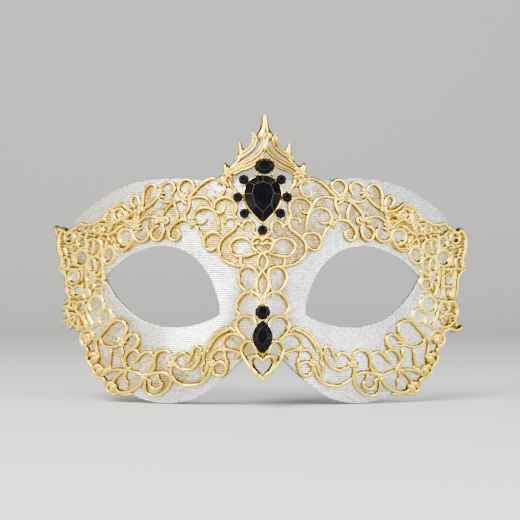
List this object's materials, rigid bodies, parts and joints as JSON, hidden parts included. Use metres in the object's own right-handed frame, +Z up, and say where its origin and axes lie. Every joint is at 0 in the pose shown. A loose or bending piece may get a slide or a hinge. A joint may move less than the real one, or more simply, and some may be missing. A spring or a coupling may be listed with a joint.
{
  "type": "venetian masquerade mask",
  "caption": "Curved half mask with eye openings, metallic cloth face, cast gold filigree, pointed crest, faceted black stones, and ribbon eyelets at the temples.",
  "frame": {"origin": "on the back of the lining at the nose bridge, on the middle plane: the point that rests on the wearer's nose bridge", "axes": "+X towards the viewer's right, the width; +Y from the front of the mask back towards the wearer; +Z up as worn. left is -X (the viewer's left), right is +X."},
  "size_m": [0.1876, 0.0733, 0.1247],
  "materials": {
    "shell": "moulded, dull",
    "face_cloth": "silver metallic cloth with fine ribs and a soft sparkle",
    "lining_cloth": "soft black felted lining",
    "gold_filigree": "pale gold plating, polished on the high edges",
    "black_stone": "faceted, high gloss",
    "eyelet_brass": "rolled brass, slightly worn"
  },
  "bodies": {
    "root": {"shell_core": "shell", "face_fabric": "face_cloth", "back_lining": "lining_cloth", "crest": "gold_filigree", "medallion_filigree": "gold_filigree", "nose_filigree": "gold_filigree", "brow_filigree_left": "gold_filigree", "brow_filigree_right": "gold_filigree", "temple_filigree_left": "gold_filigree", "temple_filigree_right": "gold_filigree", "cheek_filigree_left": "gold_filigree", "cheek_filigree_right": "gold_filigree", "medallion_plate": "gold_filigree", "pear_setting": "gold_filigree", "pear_stone": "black_stone", "oval_setting": "gold_filigree", "oval_stone": "black_stone", "nose_round_setting": "gold_filigree", "nose_round_stone": "black_stone", "marquise_setting": "gold_filigree", "marquise_stone": "black_stone", "halo_stone_upper_left": "black_stone", "halo_stone_upper_right": "black_stone", "halo_stone_middle_left": "black_stone", "halo_stone_middle_right": "black_stone", "halo_stone_lower_left": "black_stone", "halo_stone_lower_right": "black_stone", "halo_stone_bottom": "black_stone", "ribbon_eyelet_left": "eyelet_brass", "ribbon_eyelet_right": "eyelet_brass", "eyelet_washer_left": "eyelet_brass", "eyelet_washer_right": "eyelet_brass"}
  },
  "joints": []
}
